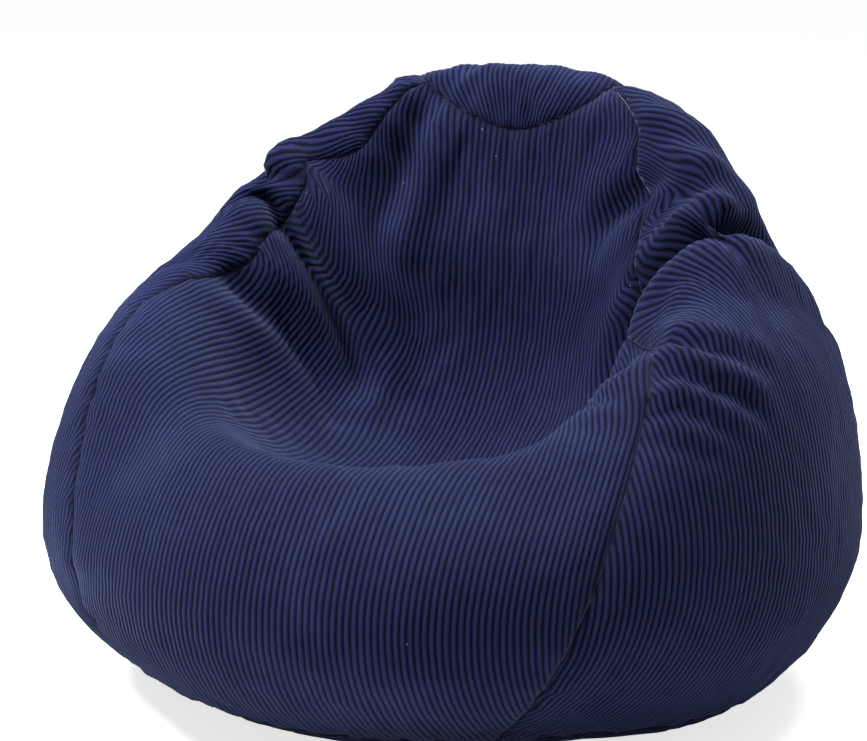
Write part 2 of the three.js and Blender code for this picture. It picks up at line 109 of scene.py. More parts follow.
def lobeDistance(points, lobe, side=1):
    size = np.array(chairForm["size"])
    centre = np.array(lobe["at"]) * size * np.array([side, 1, 1])
    radii = np.array(lobe["size"]) * size
    lean = math.radians(lobe["lean"])
    q = points - centre
    y = q[..., 1] * math.cos(lean) + q[..., 2] * math.sin(lean)
    z = -q[..., 1] * math.sin(lean) + q[..., 2] * math.cos(lean)
    q = np.stack([q[..., 0], y, z], -1) / radii
    near = np.linalg.norm(q, axis=-1)
    far = np.linalg.norm(q / radii, axis=-1)
    return near * (near - 1) / np.maximum(far, 1e-9)


def softUnion(a, b, reach):
    h = np.clip(0.5 + 0.5 * (b - a) / reach, 0, 1)
    return b * (1 - h) + a * h - reach * h * (1 - h)


def bodyDistance(p):
    f = chairForm
    body = softUnion(lobeDistance(p, f["belly"]), lobeDistance(p, f["foot"]), f["footBlend"])
    body = softUnion(body, lobeDistance(p, f["back"]), f["backBlend"])
    arms = np.minimum(lobeDistance(p, f["arm"]), lobeDistance(p, f["arm"], -1))
    body = softUnion(body, arms, f["armBlend"])
    scoop = softUnion(
        lobeDistance(p, f["lapScoop"]), lobeDistance(p, f["seatScoop"]), f["scoopsBlend"]
    )
    body = -softUnion(-body, scoop, f["scoopedBlend"])
    return -softUnion(-body, p[..., 2], f["floorBlend"])


def bodySlope(p, step=0.0005):
    shifts = np.concatenate([np.eye(3), -np.eye(3)]) * step
    f = bodyDistance(p[None] + shifts.reshape((6,) + (1,) * (p.ndim - 1) + (3,)))
    return np.stack([f[k] - f[k + 3] for k in range(3)], -1) / (2 * step)


# How the cover is cut: lines from the base middle (station 0) over the base seam (1)
# and the cap seam (2) to the cap middle (3), one for each angle round the body
coverCut = {
    "axisFoot": (0, 0.1324, 0), "axisTop": (0, 0.2614, 0.968),
    "baseSeamHeight": 0.032, "capReach": 0.128,
    "leftFrontSeam": (22.5, 31, 38.5, 49, 57, 58), "rightFrontSeam": (26, 31, 44, 52.5, 58.5, 56),
    "rearSeam": 130,
    "columns": 320, "baseRows": 44, "goreRows": 150, "capRows": 20, "traceStep": 0.005,
}
rowCount = coverCut["baseRows"] + coverCut["goreRows"] + coverCut["capRows"] + 1
axisFoot = np.array(coverCut["axisFoot"]) * chairForm["size"]
axisTop = np.array(coverCut["axisTop"]) * chairForm["size"]


def dotRows(a, b):
    return (a * b).sum(-1, keepdims=True)


def traceLines():
    count, step = coverCut["columns"], coverCut["traceStep"]
    axis = (axisTop - axisFoot) / np.linalg.norm(axisTop - axisFoot)
    turn = np.arange(count) * 2 * math.pi / count
    out = np.stack([np.sin(turn), -np.cos(turn), 0 * turn], -1)
    out = out - (out @ axis)[:, None] * axis
    out = out / np.linalg.norm(out, axis=1, keepdims=True)
    across = np.cross(axis, out)
    p = axisFoot + out * 0.006
    p[:, 2] = 0
    steps = [np.repeat(axisFoot[None], count, 0), p]
    turnSign = None
    running = np.ones(count, bool)
    while running.any() and len(steps) < 500:
        g = bodySlope(p)
        g = g - dotRows(g, across) * across
        ahead = np.cross(across, g / np.linalg.norm(g, axis=1, keepdims=True))
        if turnSign is None:
            turnSign = np.sign(dotRows(ahead, out))
        q = p + ahead * turnSign * step
        for _ in range(2):
            g = bodySlope(q)
            g = g - dotRows(g, across) * across
            q = q - g * bodyDistance(q)[:, None] / np.maximum(dotRows(g, g), 1e-6)
        reach, before = dotRows(q - axisFoot, out), dotRows(p - axisFoot, out)
        over = ((reach < 0) & (q[:, 2:] > 0.3))[:, 0] & running
        share = before / np.where(over[:, None], before - reach, 1)
        q = np.where(over[:, None], p + (q - p) * share, q)
        p = np.where(running[:, None], q, p)
        running &= ~over
        steps.append(p)
    return np.array(steps)


def rowStations():
    cut = coverCut
    return np.concatenate([
        np.arange(cut["baseRows"]) / cut["baseRows"],
        1 + np.arange(cut["goreRows"]) / cut["goreRows"],
        2 + np.arange(cut["capRows"] + 1) / cut["capRows"],
    ])


def stationGrid(lines):
    stations = rowStations()
    grid = np.zeros((rowCount, coverCut["columns"], 3))
    for c in range(coverCut["columns"]):
        line = lines[:, c]
        length = np.concatenate([[0], np.cumsum(np.linalg.norm(np.diff(line, axis=0), axis=1))])
        keep = np.concatenate([[True], np.diff(length) > 1e-7])
        line, length = line[keep], length[keep]
        k = int(np.argmax(line[:, 2] > coverCut["baseSeamHeight"]))
        share = (coverCut["baseSeamHeight"] - line[k - 1, 2]) / (line[k, 2] - line[k - 1, 2])
        base = length[k - 1] + share * (length[k] - length[k - 1])
        marks = [0, base, length[-1] - coverCut["capReach"], length[-1]]
        at = np.interp(stations, [0, 1, 2, 3], marks)
        for axis in range(3):
            grid[:, c, axis] = np.interp(at, length, line[:, axis])
    return grid


def cubicWeights(t):
    return [
        ((-0.5 * t + 1) * t - 0.5) * t,
        (1.5 * t - 2.5) * t * t + 1,
        ((-1.5 * t + 2) * t + 0.5) * t,
        (0.5 * t - 0.5) * t * t,
    ]


def sampleGrid(grid, degrees, station):
    cut = coverCut
    seams = [0, cut["baseRows"], cut["baseRows"] + cut["goreRows"], rowCount - 1]
    r = np.interp(station, [0, 1, 2, 3], seams)
    u = (np.asarray(degrees) / 360 % 1) * cut["columns"]
    row, column = np.floor(r).astype(int), np.floor(u).astype(int)
    row = np.clip(row, 0, rowCount - 2)
    rowWeights, columnWeights = cubicWeights(r - row), cubicWeights(u - column)
    total = 0
    for i in range(4):
        line = np.clip(row - 1 + i, 0, rowCount - 1)
        for j in range(4):
            weight = rowWeights[i] * columnWeights[j]
            total = total + grid[line, (column - 1 + j) % cut["columns"]] * weight[..., None]
    return total


def gridNormals(grid):
    along = np.gradient(grid, axis=0)
    around = np.roll(grid, -1, 1) - np.roll(grid, 1, 1)
    normal = np.cross(around, along)
    normal[0] = (0, 0, -1)
    normal[-1] = normal[-2].mean(0)
    return normal / np.maximum(np.linalg.norm(normal, axis=-1, keepdims=True), 1e-12)


def seamDegrees(index, station):
    marks = np.linspace(1, 2, len(coverCut["leftFrontSeam"]))
    left = np.interp(station, marks, coverCut["leftFrontSeam"])
    right = np.interp(station, marks, coverCut["rightFrontSeam"])
    rear = np.full_like(left, coverCut["rearSeam"])
    return [-right, left, rear, 360 - rear, 360 - right][index]


plainGrid = stationGrid(traceLines())
plainNormals = gridNormals(plainGrid)
print("body traced:", plainGrid.shape)

# Folds pressed into the filled cover: a line over the body, how deep and wide the fold is,
# and the lip beside it that swells up and leans over it
foldLines = [
    {"name": "backrest over right arm", "depth": 0.042, "width": 0.017, "lip": 0.02, "over": 0.02,
     "line": [(-0.280, 0.070, 0.530), (-0.253, 0.051, 0.508), (-0.220, 0.049, 0.476),
              (-0.197, 0.055, 0.441), (-0.166, 0.056, 0.388), (-0.136, 0.053, 0.321),
              (-0.118, 0.030, 0.270)]},
    {"name": "right arm root", "depth": 0.026, "width": 0.017, "lip": 0.01, "over": 0.003,
     "line": [(-0.300, -0.030, 0.400), (-0.241, -0.025, 0.406),
              (-0.222, -0.014, 0.390), (-0.190, 0.008, 0.354), (-0.153, 0.011, 0.298),
              (-0.118, -0.018, 0.253)]},
    {"name": "right arm top crease", "depth": 0.009, "width": 0.01, "lip": 0.005, "over": 0.0,
     "line": [(-0.250, -0.045, 0.400), (-0.241, -0.025, 0.406), (-0.232, 0.018, 0.441),
              (-0.215, 0.049, 0.464), (-0.205, 0.060, 0.470)]},
    {"name": "backrest middle", "depth": 0.019, "width": 0.016, "lip": 0.009, "over": 0.003,
     "line": [(-0.080, 0.165, 0.603), (-0.096, 0.143, 0.583), (-0.119, 0.124, 0.510),
              (-0.138, 0.097, 0.446), (-0.135, 0.086, 0.405)]},
    {"name": "backrest over left arm", "depth": 0.046, "width": 0.019, "lip": 0.021, "over": 0.016,
     "line": [(0.350, 0.170, 0.430), (0.318, 0.125, 0.452), (0.290, 0.075, 0.470),
              (0.256, 0.028, 0.473), (0.219, 0.034, 0.446), (0.197, 0.040, 0.415),
              (0.182, 0.038, 0.383), (0.165, 0.040, 0.340), (0.140, 0.020, 0.290)]},
    {"name": "left arm crest", "depth": 0.006, "width": 0.012, "lip": 0.007, "over": 0.0,
     "line": [(0.330, 0.080, 0.440), (0.290, 0.010, 0.450), (0.240, -0.010, 0.440),
              (0.212, -0.008, 0.405)]},
    {"name": "left shoulder", "depth": 0.028, "width": 0.016, "lip": 0.012, "over": 0.007,
     "line": [(0.285, 0.110, 0.522), (0.243, 0.067, 0.525), (0.202, 0.080, 0.518),
              (0.162, 0.102, 0.501), (0.125, 0.113, 0.476), (0.100, 0.108, 0.435)]},
    {"name": "left shoulder rear", "depth": 0.015, "width": 0.011, "lip": 0.006, "over": 0.0,
     "line": [(0.200, 0.070, 0.512), (0.223, 0.064, 0.514), (0.260, 0.064, 0.515),
              (0.305, 0.120, 0.495)]},
    {"name": "top left", "depth": 0.009, "width": 0.013, "lip": 0.005, "over": 0.0,
     "line": [(0.105, 0.135, 0.565), (0.143, 0.122, 0.556), (0.191, 0.103, 0.560),
              (0.229, 0.108, 0.557), (0.265, 0.135, 0.545)]},
    {"name": "top left upper", "depth": 0.004, "width": 0.012, "lip": 0.003, "over": 0.0,
     "line": [(0.150, 0.140, 0.594), (0.190, 0.150, 0.592), (0.225, 0.175, 0.580)]},
    {"name": "left arm ripple one", "depth": 0.015, "width": 0.01, "lip": 0.01, "over": 0.003,
     "line": [(0.205, -0.030, 0.368), (0.240, -0.075, 0.392), (0.271, -0.108, 0.398),
              (0.308, -0.113, 0.395), (0.332, -0.097, 0.388), (0.362, -0.070, 0.370)]},
    {"name": "left arm ripple two", "depth": 0.014, "width": 0.010, "lip": 0.009, "over": 0.002,
     "line": [(0.255, -0.185, 0.365), (0.274, -0.170, 0.372), (0.298, -0.155, 0.377),
              (0.326, -0.144, 0.365), (0.352, -0.124, 0.350), (0.372, -0.105, 0.335)]},
    {"name": "left arm ripple three", "depth": 0.011, "width": 0.009, "lip": 0.008, "over": 0.002,
     "line": [(0.270, -0.210, 0.345), (0.289, -0.196, 0.346), (0.312, -0.179, 0.349),
              (0.335, -0.168, 0.337), (0.358, -0.150, 0.320)]},
    {"name": "left arm ripple four", "depth": 0.005, "width": 0.009, "lip": 0.004, "over": 0.0,
     "line": [(0.290, -0.215, 0.332), (0.325, -0.200, 0.322), (0.355, -0.175, 0.305)]},
    {"name": "seat edge left", "depth": 0.008, "width": 0.012, "lip": 0.007, "over": 0.002,
     "line": [(0.150, -0.120, 0.300), (0.200, -0.165, 0.335), (0.245, -0.190, 0.355),
              (0.285, -0.192, 0.355)]},
    {"name": "seat edge left lower", "depth": 0.004, "width": 0.011, "lip": 0.004, "over": 0.0,
     "line": [(0.190, -0.210, 0.335), (0.235, -0.225, 0.340), (0.280, -0.212, 0.340)]},
    {"name": "right shoulder", "depth": 0.007, "width": 0.012, "lip": 0.006, "over": 0.0,
     "line": [(-0.195, 0.100, 0.565), (-0.212, 0.082, 0.538), (-0.220, 0.065, 0.505)]},
    {"name": "right shoulder outer", "depth": 0.004, "width": 0.011, "lip": 0.002, "over": 0.0,
     "line": [(-0.180, 0.125, 0.580), (-0.225, 0.110, 0.560), (-0.250, 0.105, 0.540)]},
    {"name": "rear left", "depth": 0.014, "width": 0.018, "lip": 0.008, "over": 0.004,
     "line": [(0.220, 0.330, 0.440), (0.290, 0.270, 0.425), (0.345, 0.200, 0.400),
              (0.380, 0.120, 0.370)]},
    {"name": "rear right", "depth": 0.014, "width": 0.018, "lip": 0.008, "over": 0.004,
     "line": [(-0.200, 0.340, 0.450), (-0.280, 0.285, 0.420), (-0.345, 0.210, 0.390),
              (-0.385, 0.120, 0.350)]},
    {"name": "rear right lower", "depth": 0.008, "width": 0.016, "lip": 0.005, "over": 0.0,
     "line": [(-0.240, 0.350, 0.330), (-0.320, 0.280, 0.310), (-0.375, 0.190, 0.300)]},
    {"name": "rear middle", "depth": 0.009, "width": 0.020, "lip": 0.006, "over": 0.0,
     "line": [(-0.140, 0.395, 0.360), (-0.050, 0.408, 0.330), (0.060, 0.408, 0.330),
              (0.150, 0.388, 0.355)]},
    {"name": "right shoulder slope", "depth": 0.020, "width": 0.050, "lip": 0.0, "over": 0.0,
     "line": [(-0.310, 0.090, 0.500), (-0.265, 0.110, 0.545), (-0.225, 0.135, 0.575),
              (-0.185, 0.160, 0.600), (-0.150, 0.180, 0.612)]},
]


def smoothLine(corners, count=48):
    corners = np.array(corners, float)
    before, after = 2 * corners[:1] - corners[1:2], 2 * corners[-1:] - corners[-2:-1]
    padded = np.concatenate([before, corners, after])
    t = np.linspace(0, len(corners) - 1, count)
    k = np.clip(np.floor(t).astype(int), 0, len(corners) - 2)
    weights = cubicWeights(t - k)
    return sum(padded[k + i] * weights[i][:, None] for i in range(4))


# Across a fold, in shares of its width: where the near lip, the lower far lip and the lean
# sit, how broad each is, and how far out the whole fold reaches
foldProfile = {
    "lipAt": 2.0, "lipWidth": 1.3, "farAt": 2.2, "farWidth": 1.5, "farShare": 0.4,
    "leanAt": 1.3, "reach": 4.2, "box": 6, "fade": 0.6,
}


def pressFold(points, normals, fold):
    f = foldProfile
    line = smoothLine(fold["line"])
    tangent = np.gradient(line, axis=0)
    tangent /= np.linalg.norm(tangent, axis=1, keepdims=True)
    reach = f["box"] * fold["width"]
    close = (points > line.min(0) - reach).all(1) & (points < line.max(0) + reach).all(1)
    where = np.nonzero(close)[0]
    p, n = points[where], normals[where]
    gap = np.linalg.norm(p[:, None] - line[None], axis=2)
    best = gap.argmin(1)
    distance = gap[np.arange(len(p)), best]
    fade = np.sin(math.pi * np.clip(best / (len(line) - 1), 0.0, 1.0)) ** f["fade"]
    sideways = np.cross(n, tangent[best])
    side = dotRows(p - line[best], sideways)[:, 0]
    w = fold["width"]
    drop = -fold["depth"] * np.exp(-((distance / w) ** 2))
    lip = np.exp(-(((side - f["lipAt"] * w) / (f["lipWidth"] * w)) ** 2)) * (side > -w)
    far = np.exp(-(((side + f["farAt"] * w) / (f["farWidth"] * w)) ** 2)) * f["farShare"]
    lip, far = fold["lip"] * lip, fold["lip"] * far
    lean = -fold["over"] * np.exp(-(((side - f["leanAt"] * w) / w) ** 2))
    fade = fade * np.exp(-((distance / (f["reach"] * w)) ** 4))
    out = points.copy()
    out[where] += (fade * (drop + lip + far))[:, None] * n + (fade * lean)[:, None] * sideways
    return out


# Puckers beside the seams, where the thread draws the cloth in
pucker = {"height": 0.0030, "reach": 0.034, "waves": (0.031, 0.047, 0.024), "seed": 5}


def seamLinePoints(grid):
    stations = np.linspace(1, 2, 240)
    lines = [sampleGrid(grid, seamDegrees(k, stations), stations) for k in range(4)]
    round360 = np.arange(0, 360, 1.0)
    lines += [sampleGrid(grid, round360, np.full(360, s)) for s in (1.0, 2.0)]
    return lines


def drawIn(points, normals, lines):
    rng = np.random.default_rng(pucker["seed"])
    out = points.copy()
    for line in lines:
        run = np.concatenate([[0], np.cumsum(np.linalg.norm(np.diff(line, axis=0), axis=1))])
        wave = 0
        for length in pucker["waves"]:
            wobble = np.interp(run, np.linspace(0, run[-1], 12), rng.uniform(-0.5, 0.5, 12))
            wave = wave + np.sin(2 * math.pi * (run / length + wobble) + rng.uniform(0, 6.28))
        strength = np.interp(run, np.linspace(0, run[-1], 16), rng.uniform(0.25, 1.0, 16))
        wave = wave / 1.8 * strength
        low, high = line.min(0) - 0.15, line.max(0) + 0.15
        where = np.nonzero(((points > low) & (points < high)).all(1))[0]
        for part in np.array_split(where, max(1, len(where) // 4000)):
            gap = np.linalg.norm(points[part][:, None] - line[None], axis=2)
            best = gap.argmin(1)
            d = gap[np.arange(len(part)), best]
            lift = pucker["height"] * wave[best] * np.exp(-d / pucker["reach"])
            out[part] += lift[:, None] * normals[part]
    return out


def smoothed(grid, times):
    for _ in range(times):
        inner = grid.copy()
        inner[1:-1] = (grid[:-2] + 2 * grid[1:-1] + grid[2:]) / 4
        grid = (np.roll(inner, 1, 1) + 2 * inner + np.roll(inner, -1, 1)) / 4
    return grid


def foldedGrid(grid):
    points = grid.reshape(-1, 3)
    normals = plainNormals.reshape(-1, 3)
    for fold in foldLines:
        points = pressFold(points, normals, fold)
    points = smoothed(points.reshape(grid.shape), 1).reshape(-1, 3)
    normals = gridNormals(points.reshape(grid.shape)).reshape(-1, 3)
    points = drawIn(points, normals, seamLinePoints(points.reshape(grid.shape)))
    # What lies on the floor stays flat
    calm = np.clip((grid[..., 2:] - 0.004) / 0.03, 0, 1)
    return grid + (points.reshape(grid.shape) - grid) * calm


def sheetObject(name, points, across, along, closeness, keep=None):
    # one grid of cloth, rows by columns; doubles at the clipped edges are merged
    rows, columns = across.shape
    bm = bmesh.new()
    bmesh.ops.create_grid(bm, x_segments=columns - 1, y_segments=rows - 1, size=1)
    mesh = bpy.data.meshes.new(name)
    bm.to_mesh(mesh)
    co = np.zeros(len(mesh.vertices) * 3)
    mesh.vertices.foreach_get("co", co)
    co = co.reshape(-1, 3)
    i = np.rint((co[:, 1] + 1) / 2 * (rows - 1)).astype(int)
    j = np.rint((co[:, 0] + 1) / 2 * (columns - 1)).astype(int)
    placed = points[i, j]
    placed[:, 2] = np.maximum(placed[:, 2], 0.00005)    # nothing goes below the floor
    mesh.vertices.foreach_set("co", placed.ravel())
    loopVertex = np.zeros(len(mesh.loops), int)
    mesh.loops.foreach_get("vertex_index", loopVertex)
    uv = mesh.uv_layers.new(name="cloth")
    flat = np.stack([across[i, j], along[i, j]], -1)[loopVertex]
    uv.data.foreach_set("uv", flat.ravel())
    seam = mesh.attributes.new("seamCloseness", "FLOAT", "POINT")
    seam.data.foreach_set("value", closeness[i, j].astype(np.float32))
    bm.clear()
    bm.from_mesh(mesh)
    if keep is not None:
        bm.verts.ensure_lookup_table()
        inside = keep[i, j]
        out = [f for f in bm.faces if not all(inside[v.index] for v in f.verts)]
        bmesh.ops.delete(bm, geom=out, context="FACES")
    bmesh.ops.remove_doubles(bm, verts=bm.verts, dist=0.00012)
    bmesh.ops.dissolve_degenerate(bm, edges=bm.edges, dist=0.0001)
    loose = [v for v in bm.verts if not v.link_faces]
    bmesh.ops.delete(bm, geom=loose, context="VERTS")
    for face in bm.faces:
        face.smooth = True
    bm.to_mesh(mesh)
    bm.free()
    piece = bpy.data.objects.new(name, mesh)
    scene.collection.objects.link(piece)
    return piece


# The cover is let settle as cloth: the fill pushes it out, the seams draw it in, and the
# cloth between has a little more length than room, so it buckles
settling = {
    "voxel": 0.010, "frames": 18, "pressure": 1.6, "give": 0.06, "gather": 0.04, "gatherReach": 0.012,
    "hold": 0.50, "cap": 0.014, "stretch": 25, "shear": 8, "bend": 0.6, "mass": 0.25,
    "pinHeight": 0.030, "pinReach": 0.03,
}


def clothCopy(grid):
    degrees, stations = np.meshgrid(np.linspace(0, 360, 241), np.linspace(0, 3, 181))
    points = sampleGrid(grid, degrees, stations)
    points[0], points[-1] = points[0].mean(0), points[-1].mean(0)
    copy = sheetObject("settling_cloth", points, degrees / 360, stations, stations * 0)
    remesh = copy.modifiers.new("even", "REMESH")
    remesh.mode = "VOXEL"
    remesh.voxel_size = settling["voxel"]
    even = bpy.data.meshes.new_from_object(copy.evaluated_get(bpy.context.evaluated_depsgraph_get()))
    copy.modifiers.clear()
    copy.data = even
    return copy


def meshPoints(mesh):
    co = np.zeros(len(mesh.vertices) * 3)
    mesh.vertices.foreach_get("co", co)
    return co.reshape(-1, 3)


def weighVertices(piece, name, weights):
    group = piece.vertex_groups.new(name=name)
    levels = np.rint(np.clip(weights, 0, 1) * 20).astype(int)
    for level in np.unique(levels):
        group.add(np.nonzero(levels == level)[0].tolist(), level / 20, "REPLACE")


def nearestGap(points, lines):
    every = np.concatenate(lines)
    best = np.full(len(points), 9.0)
    for part in np.array_split(np.arange(len(points)), max(1, len(points) // 1500)):
        best[part] = np.linalg.norm(points[part][:, None] - every[None], axis=2).min(1)
    return best


def settleCover(grid):
    cloth = clothCopy(grid)
    rest = meshPoints(cloth.data)
    gap = nearestGap(rest, seamLinePoints(grid))
    floorPin = np.clip(1 - (rest[:, 2] - settling["pinHeight"]) / settling["pinReach"], 0, 1)
    weighVertices(cloth, "hold", np.maximum(settling["hold"], floorPin))
    weighVertices(cloth, "gather", np.exp(-((gap / settling["gatherReach"]) ** 2)))
    sim = cloth.modifiers.new("settle", "CLOTH")
    s = sim.settings
    s.quality, s.mass = 5, settling["mass"]
    s.tension_stiffness = s.compression_stiffness = settling["stretch"]
    s.shear_stiffness, s.bending_stiffness = settling["shear"], settling["bend"]
    s.use_pressure, s.uniform_pressure_force = True, settling["pressure"]
    s.vertex_group_mass, s.pin_stiffness = "hold", 1.0
    s.shrink_min, s.shrink_max, s.vertex_group_shrink = -settling["give"], settling["gather"], "gather"
    s.effector_weights.gravity = 0
    sim.collision_settings.use_collision = False
    sim.point_cache.frame_end = settling["frames"]
    for frame in range(1, settling["frames"] + 1):
        scene.frame_set(frame)
    done = cloth.evaluated_get(bpy.context.evaluated_depsgraph_get()).data
    move = meshPoints(done) - rest
    length = np.linalg.norm(move, axis=1, keepdims=True)
    print("cloth moved, mm:", np.round([length.mean() * 1000, length.max() * 1000], 2))
    move *= np.minimum(1, settling["cap"] / np.maximum(length, 1e-9))
    polygons = [list(f.vertices) for f in cloth.data.polygons]
    tree = BVHTree.FromPolygons(rest.tolist(), polygons)
    out = grid.copy()
    for row in range(1, rowCount):
        for column in range(coverCut["columns"]):
            place, _, face, _ = tree.find_nearest(Vector(grid[row, column]))
            corners = polygons[face]
            near = 1 / (np.linalg.norm(rest[corners] - np.array(place), axis=1) + 0.0008)
            out[row, column] += (move[corners] * (near / near.sum())[:, None]).sum(0)
    bpy.data.objects.remove(cloth)
    scene.frame_set(1)
    return out


pressedGrid = foldedGrid(plainGrid)
print("folds pressed:", len(foldLines))
coverGrid = pressedGrid
drift = smoothed(settleCover(pressedGrid) - pressedGrid, 1)
coverGrid = pressedGrid + drift * np.clip((pressedGrid[..., 2:] - 0.004) / 0.03, 0, 1)
print("cover settled")
coverNormals = gridNormals(coverGrid)


def pressedDepth():
    # How far in the cover is pressed, carried a little beyond each fold
    depth = np.maximum(0, -dotRows(coverGrid - plainGrid, plainNormals))
    for _ in range(4):
        rows = depth.copy()
        rows[1:-1] = np.maximum(depth[1:-1], np.maximum(depth[:-2], depth[2:]))
        depth = np.maximum(rows, np.maximum(np.roll(rows, 1, 1), np.roll(rows, -1, 1)))
    return smoothed(depth, 3)


# What the liner and the beads follow: smooth, and always inside the folds
innerGrid = plainGrid - plainNormals * pressedDepth()

# Corduroy: ribs run up each gore, a fixed distance apart
corduroy = {
    "pitch": 0.0064, "phases": (0.0, 0.2, 0.5, 0.8), "relief": (-0.00075, 0.0002, 0.00045, 0.0002),
    "rowStep": 0.009, "capStep": 0.006, "thickness": 0.0016, "ribFade": 0.004, "seamShade": 0.006,
    "seamGap": 0.0003, "seamDepth": 0.0038, "seamReach": 0.0060,
}


def ribLines(low, high):
    first, last = math.floor(low / corduroy["pitch"]), math.ceil(high / corduroy["pitch"])
    ribs = np.arange(first, last + 1)[:, None] + np.array(corduroy["phases"])
    return ribs.ravel() * corduroy["pitch"]


def ribHeight(across):
    phase = across / corduroy["pitch"] % 1
    phases = list(corduroy["phases"]) + [1.0]
    heights = list(corduroy["relief"]) + [corduroy["relief"][0]]
    return np.interp(phase, phases, heights)


def seamProfile(distance):
    return -corduroy["seamDepth"] * np.exp(-distance / corduroy["seamReach"])


# Width of the cloth from a gore's grain line to each angle, row by row, square to the ribs
def clothWidths(grid, grainDegrees, fromDegrees, toDegrees, stations):
    degrees = np.linspace(fromDegrees, toDegrees, 260)
    a, s = np.meshgrid(degrees, stations)
    p = sampleGrid(grid, a, s)
    up = np.gradient(p, axis=0)
    up /= np.maximum(np.linalg.norm(up, axis=-1, keepdims=True), 1e-9)
    step = np.diff(p, axis=1)
    middle = (up[:, 1:] + up[:, :-1]) / 2
    step = step - dotRows(step, middle) * middle
    width = np.concatenate([np.zeros((len(stations), 1)), np.cumsum(np.linalg.norm(step, axis=-1), 1)], 1)
    grain = np.array([np.interp(grainDegrees, degrees, row) for row in width])
    return degrees, width - grain[:, None]


gores = [
    {"name": "corduroy_front", "node": "front_panel", "index": 0, "grain": 0, "span": (-64, 64)},
    {"name": "corduroy_left_side", "node": "left_side_panel", "index": 1, "grain": 92, "span": (20, 135)},
    {"name": "corduroy_back", "node": "back_panel", "index": 2, "grain": 180, "span": (125, 235)},
    {"name": "corduroy_right_side", "node": "right_side_panel", "index": 3, "grain": 268,
     "span": (225, 340)},
]


def raised(isCover, angle, station, lift):
    grid, normals = (coverGrid, coverNormals) if isCover else (innerGrid, plainNormals)
    raisedBy = sampleGrid(normals, angle, station) * lift[..., None]
    return sampleGrid(grid, angle, station) + raisedBy


def makeGore(gore, inset, lines, rowStep, relief, name):
    first, last = coverCut["baseRows"], coverCut["baseRows"] + coverCut["goreRows"]
    length = np.linalg.norm(np.diff(plainGrid[first:last + 1], axis=0), axis=-1).sum(0).mean()
    stations = np.linspace(1, 2, int(length / rowStep))
    degrees, width = clothWidths(plainGrid, gore["grain"], *gore["span"], stations)
    start, end = seamDegrees(gore["index"], stations), seamDegrees(gore["index"] + 1, stations)
    low = np.array([np.interp(a, degrees, w) for a, w in zip(start, width)]) + corduroy["seamGap"]
    high = np.array([np.interp(a, degrees, w) for a, w in zip(end, width)]) - corduroy["seamGap"]
    columns = lines(low.min(), high.max())
    across = np.clip(columns[None], low[:, None], high[:, None])
    angle = np.array([np.interp(row, w, degrees) for row, w in zip(across, width)])
    along = np.repeat(((stations - 1) * length)[:, None], len(columns), 1)
    station = np.repeat(stations[:, None], len(columns), 1)
    gap = np.minimum(across - low[:, None], high[:, None] - across) + corduroy["seamGap"]
    gap = np.minimum(gap, np.minimum(along, length - along) + corduroy["seamGap"])
    lift = seamProfile(gap) - inset
    if relief:
        lift = lift + ribHeight(across) * np.clip(gap / corduroy["ribFade"], 0.2, 1)
    points = raised(relief, angle, station, lift)
    closeness = np.exp(-gap / corduroy["seamShade"])
    return sheetObject(name, points, across, along, closeness)


for gore in gores:
    piece = makeGore(gore, 0, ribLines, corduroy["rowStep"], True, gore["name"])
    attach(piece, "chair")
    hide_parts(gore["node"])
    print(gore["name"], len(piece.data.polygons), "faces")


# A round panel: angle, station and distance to the seam at each place on its flat cloth
def polarPlace(x, y, reachAt, rim, stationAt):
    radius, angle = np.hypot(x, y), np.degrees(np.arctan2(x, -y)) % 360
    outer = reachAt(angle) - rim
    inside = np.minimum(radius, outer)
    return angle, stationAt(inside, angle), outer - inside + rim


def makeRound(name, xs, ys, reachAt, stationAt, ribsAlongX, inset, relief, keep=None):
    x, y = np.meshgrid(xs, ys)
    angle, station, gap = polarPlace(x, y, reachAt, corduroy["seamGap"], stationAt)
    lift = seamProfile(gap) - inset(station)
    if relief:
        lift = lift + ribHeight(y if ribsAlongX else x) * np.clip(gap / corduroy["ribFade"], 0.2, 1)
    points = raised(relief, angle, station, lift)
    across, along = (y, x) if ribsAlongX else (x, y)
    return sheetObject(name, points, across, along, np.exp(-gap / corduroy["seamShade"]), keep)


# Cap: ribs run front to back across the small round panel
capReach = coverCut["capReach"]


def capStation(radius, angle):
    return 3 - radius / capReach


def noInset(station):
    return np.zeros_like(station)


capSteps = np.arange(-capReach, capReach + 0.004, corduroy["capStep"])
piece = makeRound(
    "corduroy_cap", ribLines(-capReach, capReach), capSteps, lambda a: np.full_like(a, capReach),
    capStation, False, noInset, True,
)
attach(piece, "chair")
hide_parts("top_cap")

# Base: ribs run from side to side; the zip parts it into two halves
baseGrid = plainGrid[:coverCut["baseRows"] + 1]
baseLength = np.linalg.norm(np.diff(baseGrid, axis=0), axis=-1).sum(0)
baseCut = {"zipY": 0.045, "slotEnd": 0.189}
baseEdges = {"slotHalf": 0.007, "gap": 0.00015, "reach": 0.46, "flattened": 0.0006}


def baseReach(angle):
    degrees = np.arange(len(baseLength) + 1) * 360 / len(baseLength)
    return np.interp(angle, degrees, np.append(baseLength, baseLength[0]))


def baseStation(radius, angle):
    return radius / baseReach(angle)


def baseHalfLines(side, cut, lines):
    zipLine = cut["zipY"] - axisFoot[1]
    near, slot = zipLine + side * baseEdges["gap"], zipLine + side * baseEdges["slotHalf"]
    far = side * baseEdges["reach"]
    ribs = lines(min(near, far), max(near, far))
    ribs = ribs[(ribs - slot) * side > 0.0008]
    return np.sort(np.concatenate([ribs, [near, slot]])), slot


